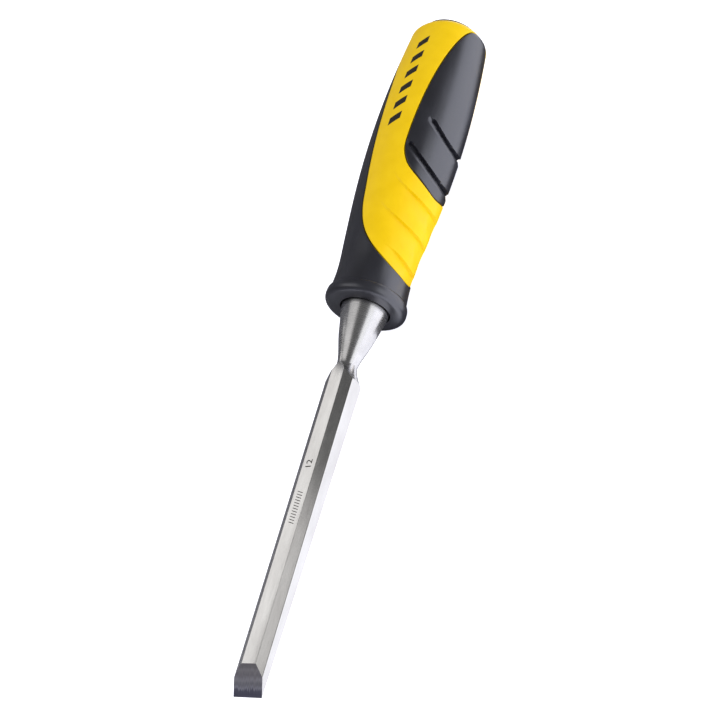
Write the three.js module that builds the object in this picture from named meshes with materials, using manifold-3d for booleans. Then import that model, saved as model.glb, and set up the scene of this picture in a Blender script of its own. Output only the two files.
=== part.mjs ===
// Bench chisel with a 12 mm bevel-edged blade and a two-colour moulded handle.
// Millimetres, +Z up. The chisel lies on a surface at z = 0 with its bevel side up, its handle
// towards +X, and the middle of its length over the origin.
//
// Each piece is drawn in the tool's own frame: x = 0 at the cutting edge and growing towards the
// handle, z = 0 on the blade's flat back. The group at the end sets that frame on the surface.

import * as THREE from "three";
import { mergeVertices } from "three/addons/utils/BufferGeometryUtils.js";
import Module from "manifold-3d";

const wasm = await Module();
wasm.setup();

// Blade. The tapered sizes are given at the cutting edge and at TAPER_LENGTH from it.
const BLADE_WIDTH = 12;
const TAPER_LENGTH = 100;
const THICKNESS = { tip: 3.7, root: 6.5 };
const SIDE_LAND = { tip: 2.25, root: 4.75 };
const TOP_WIDTH = { tip: 6.2, root: 5.6 };
const BEVEL_LENGTH = 9.1;
const EDGE_LAND = 0.1;
const FACETS_END = 111;

// Neck, bolster and tang, round about the tool's axis
const AXIS_HEIGHT = 3.4;
const NECK_RADIUS = 3.4;
const BOLSTER_RADIUS = 7.95;
const BOLSTER_BACK = 136;
const TANG_RADIUS = 3.75;
const TANG_TIP_RADIUS = 2.6;
const TANG_END = 212;

// Handle
const COLLAR_FACE = 132;
const COLLAR_FACE_RADIUS = 11.6;
const COLLAR_RADIUS = 13.85;
const GRIP_NECK = { x: 144, radius: 12.45 };
const BELLY = { x: 200, radius: 15.8 };
const HANDLE_END = 244.8;
const END_RADIUS = 13.64;
const END_ROUNDING = 4;
const COLLAR_RISE = 0.4;
const GRIP_RISE = 1.1;
const SECTION = { height: 0.95, width: 1, squareness: 2.15 };

// Inside of the handle
const SKIN = 3;
const CORE_RADIUS = 8.5;
const CORE_FRONT = BOLSTER_BACK + 0.3;
const STRIKE_FACE_RADIUS = 10.2;
const STRIKE_FACE_PROUD = 1.2;
const STRIKE_FACE_CHAMFER = 0.4;
const FLANGE_START = 240;
const MOUTH_RADIUS = 8.5;
const UNDERLAY_START = 158;

// Details in the handle's surface
const PANEL_LEAN = 7;
const GROOVE = { width: 1.3, depth: 1.3 };
const RIB = { width: 0.8, depth: 0.45 };

const GAP = 0.3;
const ROUND_STEPS = 56;
const CURVE_STEPS = 8;
const REACH = 60;

const DEG = Math.PI / 180;
const TOTAL_LENGTH = HANDLE_END + STRIKE_FACE_PROUD;
const BACK_LIFT = BELLY.radius * SECTION.height - AXIS_HEIGHT - GRIP_RISE;

// ---- Solids from three.js geometry, and back ----

function solidOf(geometry) {
  const bare = geometry.clone();
  bare.deleteAttribute("normal");
  bare.deleteAttribute("uv");
  const merged = mergeVertices(bare, 1e-4);
  const corners = merged.index.array;
  const triangles = [];
  for (let i = 0; i < corners.length; i += 3) {
    const [a, b, c] = corners.slice(i, i + 3);
    if (a !== b && b !== c && c !== a) triangles.push(a, b, c);
  }
  return new wasm.Manifold(
    new wasm.Mesh({
      numProp: 3,
      vertProperties: merged.attributes.position.array,
      triVerts: new Uint32Array(triangles),
    }),
  );
}

function meshOf(name, solid, material) {
  const { vertProperties, triVerts } = solid.getMesh();
  const geometry = new THREE.BufferGeometry();
  geometry.setAttribute("position", new THREE.BufferAttribute(vertProperties, 3));
  geometry.setIndex(new THREE.BufferAttribute(triVerts, 1));
  geometry.computeVertexNormals();
  const mesh = new THREE.Mesh(geometry, material);
  mesh.name = name;
  return mesh;
}

// ---- Turned shapes: a profile of (radius, x) points, turned about the tool's axis ----

function turned(profile) {
  const geometry = new THREE.LatheGeometry(profile, ROUND_STEPS);
  geometry.rotateZ(-90 * DEG);
  geometry.translate(0, 0, AXIS_HEIGHT);
  return geometry;
}

function risen(geometry, widthAndHeight = () => 1) {
  const position = geometry.attributes.position;
  for (let i = 0; i < position.count; i += 1) {
    const x = position.getX(i);
    const y = position.getY(i);
    const z = position.getZ(i) - AXIS_HEIGHT;
    const scale = widthAndHeight(x, Math.atan2(y, z));
    position.setXYZ(i, x, y * scale, z * scale + AXIS_HEIGHT + rise(x));
  }
  return geometry;
}

// How far the handle's centre line stands above the tang's.
function rise(x) {
  const along = THREE.MathUtils.smoothstep(x, COLLAR_FACE + 4, GRIP_NECK.x + 12);
  return THREE.MathUtils.lerp(COLLAR_RISE, GRIP_RISE, along);
}

// The handle is round at the collar and turns into a low, squared oval over the grip.
function ovalScale(x, angle) {
  const { height, width, squareness } = SECTION;
  const up = Math.abs(Math.cos(angle) / height) ** squareness;
  const across = Math.abs(Math.sin(angle) / width) ** squareness;
  const oval = (up + across) ** (-1 / squareness);
  const along = THREE.MathUtils.smoothstep(x, GRIP_NECK.x - 4, GRIP_NECK.x + 31);
  return THREE.MathUtils.lerp(1, oval, along);
}

function handleProfile() {
  const roundingStart = HANDLE_END - END_ROUNDING;
  const path = new THREE.Path();
  path.moveTo(0, COLLAR_FACE);
  path.lineTo(COLLAR_FACE_RADIUS, COLLAR_FACE);
  path.quadraticCurveTo(COLLAR_RADIUS, COLLAR_FACE, COLLAR_RADIUS, COLLAR_FACE + 3.2);
  path.bezierCurveTo(
    COLLAR_RADIUS, COLLAR_FACE + 6.6, GRIP_NECK.radius, GRIP_NECK.x - 4.5, GRIP_NECK.radius, GRIP_NECK.x,
  );
  path.bezierCurveTo(
    GRIP_NECK.radius, GRIP_NECK.x + 11, BELLY.radius, BELLY.x - 28, BELLY.radius, BELLY.x,
  );
  path.bezierCurveTo(
    BELLY.radius, BELLY.x + 14, END_RADIUS + 1.4, roundingStart - 14, END_RADIUS, roundingStart,
  );
  path.absarc(END_RADIUS - END_ROUNDING, roundingStart, END_ROUNDING, 0, 90 * DEG);
  path.lineTo(0, HANDLE_END);
  return path.getPoints(CURVE_STEPS);
}

// The handle's whole outer shape, or the same shape sunk below its surface by a depth.
function handleSolid(depth = 0) {
  const sunk = handleProfile().map(({ x: radius, y: x }) => {
    const towardsBelly = Math.sign(BELLY.x - x) * depth;
    return new THREE.Vector2(Math.max(radius - depth, 0), x + towardsBelly);
  });
  return solidOf(risen(turned(sunk), ovalScale));
}

// A straight-sided solid about the handle's centre line, from (radius, x) corners.
function boreSolid(corners) {
  return solidOf(risen(turned(corners.map(([radius, x]) => new THREE.Vector2(radius, x)))));
}

// ---- Outlines seen from above, cut straight down through the handle ----

function slabBetween(from, to) {
  const box = new THREE.BoxGeometry(to - from, 2 * REACH, 2 * REACH);
  box.translate((from + to) / 2, 0, 0);
  return solidOf(box);
}

function cutDown(points) {
  const prism = new THREE.ExtrudeGeometry(new THREE.Shape(points), {
    depth: 2 * REACH,
    bevelEnabled: false,
  });
  prism.translate(0, 0, -REACH);
  return solidOf(prism);
}

// Moves each point of a closed, anticlockwise outline outwards.
function grown(points, distance) {
  return points.map((point, i) => {
    const before = points[(i + points.length - 1) % points.length];
    const after = points[(i + 1) % points.length];
    const along = after.clone().sub(before).normalize();
    return new THREE.Vector2(point.x + along.y * distance, point.y - along.x * distance);
  });
}

// Soft panel on the -Y side: a straight slanted front edge, a rounded corner, a long sweep to the end.
function panelOutline() {
  const path = new THREE.Path();
  path.moveTo(165, -25);
  path.lineTo(250, -25);
  path.lineTo(250, -14.4);
  path.lineTo(243, -13.3);
  path.bezierCurveTo(224, -9.2, 206, -6.9, 190, -6.8);
  path.quadraticCurveTo(185, -6.75, 182.2, -8.6);
  path.lineTo(165, -21.6);
  return path.getPoints(CURVE_STEPS);
}

// The panel sits a little below the middle of the side, so its cut leans over.
function panelCut(points) {
  const centre = AXIS_HEIGHT + GRIP_RISE;
  return cutDown(points).translate([0, 0, -centre]).rotate([PANEL_LEAN, 0, 0]).translate([0, 0, centre]);
}

// Front grip: all of the collar, then a spine along the +Y side.
function frontOutline() {
  const path = new THREE.Path();
  path.moveTo(120, 25);
  path.lineTo(120, -25);
  path.lineTo(132, -25);
  path.lineTo(147, -8.2);
  path.bezierCurveTo(151.5, -4.2, 156, -0.4, 163, 1.2);
  path.bezierCurveTo(175, 3.2, 195, 5.4, 214, 6.9);
  path.bezierCurveTo(225, 8, 234, 10.5, 243, 13.45);
  path.lineTo(250, 15.7);
  path.lineTo(250, 25);
  return path.getPoints(CURVE_STEPS);
}

// A round-ended slot seen from above, sunk into the handle's surface.
function surfaceSlot(start, end, { width, depth }) {
  const from = new THREE.Vector2(...start);
  const to = new THREE.Vector2(...end);
  const heading = to.clone().sub(from).angle();
  const path = new THREE.Path();
  path.absarc(to.x, to.y, width / 2, heading - 90 * DEG, heading + 90 * DEG);
  path.absarc(from.x, from.y, width / 2, heading + 90 * DEG, heading + 270 * DEG);
  return cutDown(path.getPoints(3)).subtract(handleSolid(depth));
}

// Each runs from its inner end, near the top of the handle, out past the -Y side.
const GROOVES = [
  { start: [199.7, -13.6], end: [191, -17.4] },
  { start: [188.7, -10.1], end: [177, -18] },
];
const RIBS = [
  { start: [178, -7], end: [168, -17] },
  { start: [167, -4.2], end: [157.5, -15.2] },
  { start: [151.8, -7.5], end: [147.3, -14.5] },
];

// ---- Blade ----

function lerpAlong({ tip, root }, x) {
  return THREE.MathUtils.lerp(tip, root, x / TAPER_LENGTH);
}

// Side view of the blade's flats: back, top face and ground bevel, across the full width.
function bladeStock() {
  const end = FACETS_END + 4;
  const side = new THREE.Shape();
  side.moveTo(0, 0);
  side.lineTo(end, 0);
  side.lineTo(end, lerpAlong(THICKNESS, end));
  side.lineTo(BEVEL_LENGTH, lerpAlong(THICKNESS, BEVEL_LENGTH));
  side.lineTo(0, EDGE_LAND);
  const stock = new THREE.ExtrudeGeometry(side, { depth: BLADE_WIDTH, bevelEnabled: false });
  stock.rotateX(90 * DEG);
  stock.translate(0, BLADE_WIDTH / 2, 0);
  return solidOf(stock);
}

// Everything beyond the chamfer plane, which joins a side land to the top face.
function chamferWaste(side) {
  const corner = new THREE.Vector3(0, side * BLADE_WIDTH / 2, SIDE_LAND.tip);
  const along = new THREE.Vector3(TAPER_LENGTH, 0, SIDE_LAND.root - SIDE_LAND.tip).normalize();
  const middle = TAPER_LENGTH / 2;
  const inwards = new THREE.Vector3(
    middle,
    side * lerpAlong(TOP_WIDTH, middle) / 2,
    lerpAlong(THICKNESS, middle),
  ).sub(corner);
  const outwards = new THREE.Vector3().crossVectors(along, inwards).normalize();
  if (outwards.z < 0) outwards.negate();
  const across = new THREE.Vector3().crossVectors(outwards, along);
  const waste = new THREE.BoxGeometry(4 * TAPER_LENGTH, BLADE_WIDTH * 2, BLADE_WIDTH);
  waste.translate(0, 0, BLADE_WIDTH / 2);
  const place = new THREE.Matrix4().makeBasis(along, across, outwards).setPosition(corner);
  return solidOf(waste.applyMatrix4(place));
}

// The round forging under the flats: it narrows from the blade to the neck, flares to the bolster,
// and carries the tang.
function forgingProfile() {
  const path = new THREE.Path();
  path.moveTo(0, -1);
  path.lineTo(9, -1);
  path.lineTo(9, 101.5);
  path.bezierCurveTo(5.6, 105.5, 4, 108.2, NECK_RADIUS, FACETS_END);
  path.bezierCurveTo(3.55, 114, 5.2, 118.2, 6, 122);
  path.lineTo(BOLSTER_RADIUS, COLLAR_FACE);
  path.lineTo(BOLSTER_RADIUS, BOLSTER_BACK);
  path.lineTo(TANG_RADIUS, BOLSTER_BACK);
  path.lineTo(TANG_RADIUS, BOLSTER_BACK + 30);
  path.lineTo(TANG_TIP_RADIUS, TANG_END - 3);
  path.lineTo(0, TANG_END);
  return path.getPoints(CURVE_STEPS);
}

function makeBlade() {
  const flats = bladeStock().subtract(chamferWaste(-1)).subtract(chamferWaste(1));
  const aroundFlats = slabBetween(-REACH, FACETS_END).subtract(flats);
  const forging = solidOf(turned(forgingProfile())).subtract(aroundFlats);
  const steel = new THREE.MeshStandardMaterial({ color: 0xc9c7c6, metalness: 1, roughness: 0.28 });
  return meshOf("blade", forging, steel);
}

// ---- Handle ----

// The hard core, with its bore for the tang and the flanged face that is struck at its back end.
function makeCore() {
  const body = boreSolid([
    [0, CORE_FRONT],
    [CORE_RADIUS, CORE_FRONT],
    [CORE_RADIUS, FLANGE_START],
    [STRIKE_FACE_RADIUS, FLANGE_START + 2],
    [STRIKE_FACE_RADIUS, TOTAL_LENGTH - STRIKE_FACE_CHAMFER],
    [STRIKE_FACE_RADIUS - STRIKE_FACE_CHAMFER, TOTAL_LENGTH],
    [0, TOTAL_LENGTH],
  ]);
  const bore = new THREE.CylinderGeometry(
    TANG_RADIUS + GAP, TANG_RADIUS + GAP, TANG_END - BOLSTER_BACK + 2, ROUND_STEPS / 2,
  );
  bore.rotateZ(90 * DEG);
  bore.translate((TANG_END + BOLSTER_BACK) / 2, 0, AXIS_HEIGHT);
  const black = new THREE.MeshStandardMaterial({ color: 0x242427, metalness: 0, roughness: 0.5 });
  return meshOf("core", body.subtract(solidOf(bore)), black);
}

// The space for the core, and for the bolster where it enters the collar.
function coreSpace() {
  const shaft = boreSolid([
    [0, BOLSTER_BACK],
    [CORE_RADIUS + GAP, BOLSTER_BACK],
    [CORE_RADIUS + GAP, FLANGE_START - GAP],
    [STRIKE_FACE_RADIUS + GAP, FLANGE_START + 2 - GAP],
    [STRIKE_FACE_RADIUS + GAP, HANDLE_END + 5],
    [0, HANDLE_END + 5],
  ]);
  const mouth = new THREE.CylinderGeometry(
    MOUTH_RADIUS, MOUTH_RADIUS, BOLSTER_BACK - COLLAR_FACE + 5, ROUND_STEPS,
  );
  mouth.rotateZ(90 * DEG);
  mouth.translate((BOLSTER_BACK + COLLAR_FACE - 5) / 2, 0, AXIS_HEIGHT);
  return shaft.add(solidOf(mouth));
}

// The shell's layer that runs on under the front grip's spine.
function underlay(depth, start) {
  return handleSolid(depth).intersect(slabBetween(start, HANDLE_END + 5));
}

function makeShell() {
  const panelPocket = panelCut(grown(panelOutline(), GAP)).subtract(handleSolid(SKIN + GAP));
  const frontPocket = cutDown(grown(frontOutline(), GAP)).subtract(
    underlay(SKIN + GAP, UNDERLAY_START + GAP),
  );
  const whole = handleSolid().subtract(coreSpace()).subtract(panelPocket).subtract(frontPocket);
  const ribbed = RIBS.reduce((rest, rib) => rest.subtract(surfaceSlot(rib.start, rib.end, RIB)), whole);
  const yellow = new THREE.MeshStandardMaterial({ color: 0xf2c800, metalness: 0, roughness: 0.35 });
  return meshOf("handle_shell", ribbed, yellow);
}

function makeFrontGrip() {
  const sleeve = handleSolid().intersect(cutDown(frontOutline()));
  const hollow = sleeve.subtract(coreSpace()).subtract(underlay(SKIN, UNDERLAY_START));
  const rubber = new THREE.MeshStandardMaterial({ color: 0x2e2e34, metalness: 0, roughness: 0.6 });
  return meshOf("front_grip", hollow, rubber);
}

function makeSidePanel() {
  const panel = handleSolid().intersect(panelCut(panelOutline())).subtract(handleSolid(SKIN));
  const grooved = GROOVES.reduce(
    (rest, groove) => rest.subtract(surfaceSlot(groove.start, groove.end, GROOVE)),
    panel,
  );
  const rubber = new THREE.MeshStandardMaterial({ color: 0x2e2e34, metalness: 0, roughness: 0.6 });
  return meshOf("side_panel", grooved, rubber);
}

const chisel = new THREE.Group();
chisel.position.set(-TOTAL_LENGTH / 2, 0, BACK_LIFT);
chisel.add(makeBlade(), makeCore(), makeShell(), makeFrontGrip(), makeSidePanel());

const bench = new THREE.Group();
bench.add(chisel);

export default bench;
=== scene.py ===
import math

import bmesh
import bpy
import numpy as np
from mathutils import Matrix, Vector
from mathutils.geometry import delaunay_2d_cdt


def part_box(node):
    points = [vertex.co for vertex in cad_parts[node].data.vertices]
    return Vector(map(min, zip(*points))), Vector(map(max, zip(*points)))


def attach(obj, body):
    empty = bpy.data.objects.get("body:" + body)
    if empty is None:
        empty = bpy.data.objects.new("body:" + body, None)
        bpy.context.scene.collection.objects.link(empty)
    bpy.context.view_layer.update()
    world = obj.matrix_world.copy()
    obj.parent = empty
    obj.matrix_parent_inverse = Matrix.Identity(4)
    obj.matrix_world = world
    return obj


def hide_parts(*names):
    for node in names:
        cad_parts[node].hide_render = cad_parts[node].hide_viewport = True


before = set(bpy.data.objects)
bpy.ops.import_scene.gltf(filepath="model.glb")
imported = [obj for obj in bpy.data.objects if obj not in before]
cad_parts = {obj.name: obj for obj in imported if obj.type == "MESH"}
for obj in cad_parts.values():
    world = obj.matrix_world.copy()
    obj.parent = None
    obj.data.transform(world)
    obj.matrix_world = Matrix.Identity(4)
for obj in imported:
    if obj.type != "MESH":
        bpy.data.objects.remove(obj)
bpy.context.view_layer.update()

# The looks of a bench chisel. Shapes are worked out in the tool's own frame, in millimetres: x = 0 at
# the cutting edge and growing towards the handle, z = 0 on the blade's flat back, bevel side up.
# mesh_object() sets them in the row frame, in metres.

MM = 0.001

# Blade: the tapered sizes are (at the cutting edge, at TAPER_LENGTH)
BLADE_WIDTH = 12
TAPER_LENGTH = 100
THICKNESS = (3.7, 6.5)
SIDE_LAND = (2.25, 4.75)
TOP_WIDTH = (6.2, 5.6)
BEVEL_LENGTH = 9.1
EDGE_LAND = 0.1
FACETS_END = 111
LONG_EDGE_RADIUS = 0.22

# Neck, bolster and tang
AXIS_HEIGHT = 3.4
NECK_RADIUS = 3.4
BOLSTER_RADIUS = 7.95
BOLSTER_BACK = 136
BOLSTER_ROUNDING = 0.35
TANG_RADIUS = 3.75
TANG_TIP_RADIUS = 2.6
TANG_END = 212

# Handle
COLLAR_FACE = 132
COLLAR_FACE_RADIUS = 11.6
COLLAR_RADIUS = 13.75
CREASE_X = 136.3
CREASE_RADIUS = 12.95
GRIP_NECK_X = 144
GRIP_NECK_RADIUS = 12.45
BELLY_X = 200
BELLY_RADIUS = 15.8
HANDLE_END = 244.8
END_RADIUS = 13.64
END_ROUNDING = 4
COLLAR_RISE = 0.4
GRIP_RISE = 1.1
SECTION_HEIGHT = 0.95
SQUARENESS = 2.15

# Inside of the handle
SKIN = 3
CORE_RADIUS = 8.5
CORE_FRONT = BOLSTER_BACK + 0.3
MOUTH_RADIUS = 8.5
STRIKE_FACE_RADIUS = 10.2
STRIKE_FACE_END = HANDLE_END + 1.2
FLANGE_START = 240
UNDERLAY_START = 158
GAP = 0.3

# Details in the handle's surface, as x and degrees round the handle, down to the place where they
# turn back. Their lower part, which is mostly out of sight, mirrors the upper as far as DETAIL_END.
PANEL_MIDDLE = 97
GROOVES = [
    [(199.7, 59), (198.4, 65), (194.5, 80), (194.5, 103)],
    [(188.7, 40), (184.1, 56), (180.3, 78), (180.3, 103)],
]
GROOVE_DEPTH = 1.6
RAMP_DEPTH = 0.5
RIBS = [
    [(177.9, 29), (171.5, 44), (169.6, 80), (169.6, 103)],
    [(167, 19), (161, 40), (158.7, 75), (158.7, 105)],
    [(151.3, 42), (150, 63), (147.7, 90), (147.7, 108)],
]
RIB_DEPTH = 1
DETAIL_END = 147

# Across a groove or rib, in millimetres from its line towards the handle's end (a groove) or the
# blade (a rib): where each part of its section starts and ends.
GROOVE_FRONT_WALL = (-0.75, -0.35)
GROOVE_BACK_WALL = (0.5, 0.7)
RAMP_START = -1.9
RAMP_WIDTH = 1.2
RIB_STEP = (-0.1, 0.35)
RIB_FADE = 8

# Marks
BAR_STARTS = [196 + 6.8 * i for i in range(6)]
BAR_WIDTH = 3
BAR_SLANT = 2.6
BAR_ANGLES = (-1, 15)
BLADE_MARKS = [("12", 72.8), ("////////////", 54)]
BLADE_MARK_HEIGHT = 2.4
MARK_RAISED = 0.03
MARK_SUNK = 0.15

# Mesh density
SEAM_RADIUS = 0.3
SEAM_STEP = 0.55
SKIN_STEP = 0.8
DETAIL_STEP = 0.28
TURNED_SIDES = 160

# Light: the sky's brightness on matt surfaces and in reflections
FILL = 0.69
DARK_SKY = 0.13
WARM_WHITE = (1, 0.985, 0.97)
COOL_WHITE = (0.97, 0.98, 1)
TOOL_MIDDLE = (0, 0, 0.015)

# Cards, in millimetres: how far above the floor they start, and where the standing ones stand
CARD_HEIGHT = 0.5
BACK_CARD_Y = 45

# Camera, in metres: its place, and the directions of its right, its top and its back
LENS_MM = 85.13
CAMERA_PLACE = Vector((-0.2463, -0.3657, 0.3432))
CAMERA_RIGHT = (0.2771, -0.7404, -0.6124)
CAMERA_UP = (0.8566, -0.0985, 0.5066)
CAMERA_BACK = (-0.4354, -0.6649, 0.6069)

TOOL_ORIGIN = Vector((
    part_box("blade")[0].x,
    0,
    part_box("blade")[0].z + (BOLSTER_RADIUS - AXIS_HEIGHT) * MM,
))


# ---- Plane curves ----


def bezier(*points, steps=60):
    """Points along a Bezier curve of any degree."""
    degree = len(points) - 1
    u = np.linspace(0, 1, steps + 1)[:, None]
    return sum(
        math.comb(degree, i) * (1 - u) ** (degree - i) * u**i * np.array(point, float)
        for i, point in enumerate(points)
    )


def chain(*parts):
    """One polyline from several that meet end to end."""
    joined = [np.atleast_2d(np.array(parts[0], float))]
    for part in parts[1:]:
        part = np.atleast_2d(np.array(part, float))
        same = np.allclose(part[0], joined[-1][-1])
        joined.append(part[1:] if same else part)
    return np.concatenate(joined)


def lengths_along(points):
    """How far along a polyline each of its points is."""
    steps = np.linalg.norm(np.diff(points, axis=0), axis=1)
    return np.concatenate([[0], np.cumsum(steps)])


def resampled(points, step):
    """The same polyline with points an equal distance apart."""
    along = lengths_along(points)
    count = max(2, round(along[-1] / step))
    at = np.linspace(0, along[-1], count + 1)
    return np.stack([np.interp(at, along, points[:, k]) for k in range(2)], axis=1)


def smoothstep(value, low, high):
    share = np.clip((np.asarray(value, float) - low) / (high - low), 0, 1)
    return share * share * (3 - 2 * share)


# ---- The handle's outer surface ----
# A point of it is (t, s): t runs along the profile from the mouth to the end, and s round the
# handle, in millimetres at the radius ROUND_BASE. Degrees round the handle are 0 on top, 90 on the
# -Y side and 180 underneath. The surface is cut open along the +Y side, from -90 to 270 degrees.

ROUND_BASE = 14
FIRST_S = math.radians(-90) * ROUND_BASE
LAST_S = math.radians(270) * ROUND_BASE
CUT_TOLERANCE = 1e-4
CUT_MARGIN = 0.02
ROW_MARGIN = 0.2


def handle_profile():
    """(x, radius) from the mouth, over the rolled collar and the belly, to the end's rounded rim."""
    rounding_start = HANDLE_END - END_ROUNDING
    open_end = math.acos((STRIKE_FACE_RADIUS + GAP - END_RADIUS + END_ROUNDING) / END_ROUNDING)
    turn = np.linspace(0, open_end, 60)
    end = np.stack([
        rounding_start + END_ROUNDING * np.sin(turn),
        END_RADIUS - END_ROUNDING + END_ROUNDING * np.cos(turn),
    ], axis=1)
    return chain(
        [(COLLAR_FACE, MOUTH_RADIUS), (COLLAR_FACE, COLLAR_FACE_RADIUS)],
        bezier(
            (COLLAR_FACE, COLLAR_FACE_RADIUS), (COLLAR_FACE, COLLAR_RADIUS - 0.7),
            (COLLAR_FACE + 0.7, COLLAR_RADIUS), (COLLAR_FACE + 2, COLLAR_RADIUS),
        ),
        bezier(
            (COLLAR_FACE + 2, COLLAR_RADIUS), (COLLAR_FACE + 3.3, COLLAR_RADIUS),
            (CREASE_X - 0.5, CREASE_RADIUS + 0.7), (CREASE_X, CREASE_RADIUS),
        ),
        bezier(
            (CREASE_X, CREASE_RADIUS), (CREASE_X + 0.5, CREASE_RADIUS - 0.1),
            (CREASE_X + 4, GRIP_NECK_RADIUS), (GRIP_NECK_X, GRIP_NECK_RADIUS),
        ),
        bezier(
            (GRIP_NECK_X, GRIP_NECK_RADIUS), (GRIP_NECK_X + 11, GRIP_NECK_RADIUS),
            (BELLY_X - 28, BELLY_RADIUS), (BELLY_X, BELLY_RADIUS), steps=200,
        ),
        bezier(
            (BELLY_X, BELLY_RADIUS), (BELLY_X + 14, BELLY_RADIUS),
            (rounding_start - 14, END_RADIUS + 1.4), (rounding_start, END_RADIUS), steps=200,
        ),
        end,
    )


PROFILE = handle_profile()
PROFILE_T = lengths_along(PROFILE)
PROFILE_HEADING = np.gradient(PROFILE, PROFILE_T, axis=0)
PROFILE_END = PROFILE_T[-1]


def profile_at(t):
    """x, radius, and the outward normal's x and radius parts."""
    x, radius = (np.interp(t, PROFILE_T, PROFILE[:, k]) for k in range(2))
    along_x, along_radius = (np.interp(t, PROFILE_T, PROFILE_HEADING[:, k]) for k in range(2))
    length = np.hypot(along_x, along_radius)
    return x, radius, -along_radius / length, along_x / length


def t_at(x):
    """Where along the profile the handle reaches x."""
    return np.interp(x, PROFILE[1:, 0], PROFILE_T[1:])


def rise(x):
    """How far the handle's centre line stands above the tang's."""
    along = smoothstep(x, COLLAR_FACE + 4, GRIP_NECK_X + 12)
    return COLLAR_RISE + (GRIP_RISE - COLLAR_RISE) * along


def oval_scale(x, angle):
    """Round at the collar, a low, squared oval over the grip."""
    up = np.abs(np.cos(angle) / SECTION_HEIGHT) ** SQUARENESS
    across = np.abs(np.sin(angle)) ** SQUARENESS
    oval = (up + across) ** (-1 / SQUARENESS)
    along = smoothstep(x, GRIP_NECK_X - 4, GRIP_NECK_X + 31)
    return 1 + (oval - 1) * along


def on_round(x, radius, angle, centre):
    """The point at an angle round a centre line that stands at the height centre."""
    return np.stack([
        x + 0 * angle,
        -radius * np.sin(angle),
        radius * np.cos(angle) + centre,
    ], axis=-1)


def on_surface(t, angle, depth=0):
    """The point under (t, angle) at a depth below the handle's surface."""
    x, radius, normal_x, normal_radius = profile_at(t)
    x = x - depth * normal_x
    radius = radius - depth * normal_radius
    lift = rise(x) * smoothstep(t, 0, COLLAR_FACE_RADIUS - MOUTH_RADIUS)
    return on_round(x, radius * oval_scale(x, angle), angle, AXIS_HEIGHT + lift)


# ---- Curves on the surface, given as x and degrees round the handle ----


def on_chart(curve):
    """A curve of x and degrees, as (t, s)."""
    return np.stack([t_at(curve[:, 0]), np.radians(curve[:, 1]) * ROUND_BASE], axis=1)


def panel_outline():
    """A loop that starts at the nose. Its lower half, out of sight, mirrors the upper."""
    upper = chain(
        bezier((174.6, PANEL_MIDDLE), (174.6, 82), (178.3, 50.2), (182.2, 42)),
        bezier((182.2, 42), (184.8, 36.4), (187, 33.9), (190.4, 33.9)),
        bezier((190.4, 33.9), (205.2, 33.9), (227.9, 42.1), (238.6, 65)),
        bezier((238.6, 65), (242.8, 74.7), (243.4, 84.6), (243.4, PANEL_MIDDLE)),
    )
    lower = upper[::-1] * (1, -1) + (0, 2 * PANEL_MIDDLE)
    return chain(upper, lower)


def front_outline():
    """Along the top of the spine, round the -Y side behind the collar, and back under the spine."""
    spine = chain(
        bezier((242.5, -90), (244.1, -53), (224.2, -31), (214, -27)),
        bezier((214, -27), (200, -21.6), (184, -16.8), (169.9, -9.3)),
    )
    under_spine = spine[::-1] * (1, -1) + (0, 180)
    return chain(
        spine,
        bezier((169.9, -9.3), (149, -3.6), (142.5, 67.4), (142.5, 100)),
        bezier((142.5, 100), (142.5, 128), (148, 183.6), (169.9, 189.3)),
        under_spine,
    )


def closed(loop):
    """A loop with its first point repeated at its end."""
    return np.concatenate([loop, loop[:1]])


def offset(curve, distance, is_loop=False):
    """The curve moved to its left. The ends of an open one stay on the cut."""
    if is_loop:
        heading = np.roll(curve, -1, axis=0) - np.roll(curve, 1, axis=0)
    else:
        heading = np.gradient(curve, axis=0)
        heading[[0, -1]] = (0, 1)
    heading /= np.linalg.norm(heading, axis=1)[:, None]
    moved = curve + np.stack([-heading[:, 1], heading[:, 0]], axis=1) * distance
    inside = (moved[:, 1] > FIRST_S + CUT_MARGIN) & (moved[:, 1] < LAST_S - CUT_MARGIN)
    inside[[0, -1]] = True
    return moved[inside]


def with_points_at(curve, t):
    """The curve with a point wherever it crosses t."""
    points = [curve[0]]
    for a, b in zip(curve, curve[1:], strict=False):
        if (a[0] - t) * (b[0] - t) < 0:
            points.append(a + (b - a) * (t - a[0]) / (b[0] - a[0]))
        points.append(b)
    return np.array(points)


def distance_to(points, curve):
    """The distance of each point to a polyline, on which side of it the point lies (left is
    positive), and how far along it the nearest place is."""
    start, step = curve[:-1], np.diff(curve, axis=0)
    nearest = np.full(len(points), 1e9)
    side = np.ones(len(points))
    along = np.zeros(len(points))
    lengths = lengths_along(curve)
    for i in range(len(start)):
        away = points - start[i]
        share = np.clip(away @ step[i] / (step[i] @ step[i]), 0, 1)
        gap = away - share[:, None] * step[i]
        distance = np.linalg.norm(gap, axis=1)
        nearer = distance < nearest
        nearest = np.where(nearer, distance, nearest)
        turn = step[i][0] * gap[:, 1] - step[i][1] * gap[:, 0]
        side = np.where(nearer, np.sign(turn), side)
        along = np.where(nearer, lengths[i] + share * np.linalg.norm(step[i]), along)
    return nearest, side, along


def nearest_of(points, curves):
    """The distance of each point to the nearest of several polylines."""
    return np.min([distance_to(points, curve)[0] for curve in curves], axis=0)


# ---- Details sunk into the surface ----


def detail_line(points):
    """A detail's Bezier curve and its mirror image below, as (t, s)."""
    upper = bezier(*points)
    lower = upper[::-1] * (1, -1) + (0, 2 * upper[-1, 1])
    return resampled(on_chart(chain(upper, lower[lower[:, 1] < DETAIL_END])), 0.5)


GROOVE_LINES = [detail_line(points) for points in GROOVES]
RIB_LINES = [detail_line(points) for points in RIBS]


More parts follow.
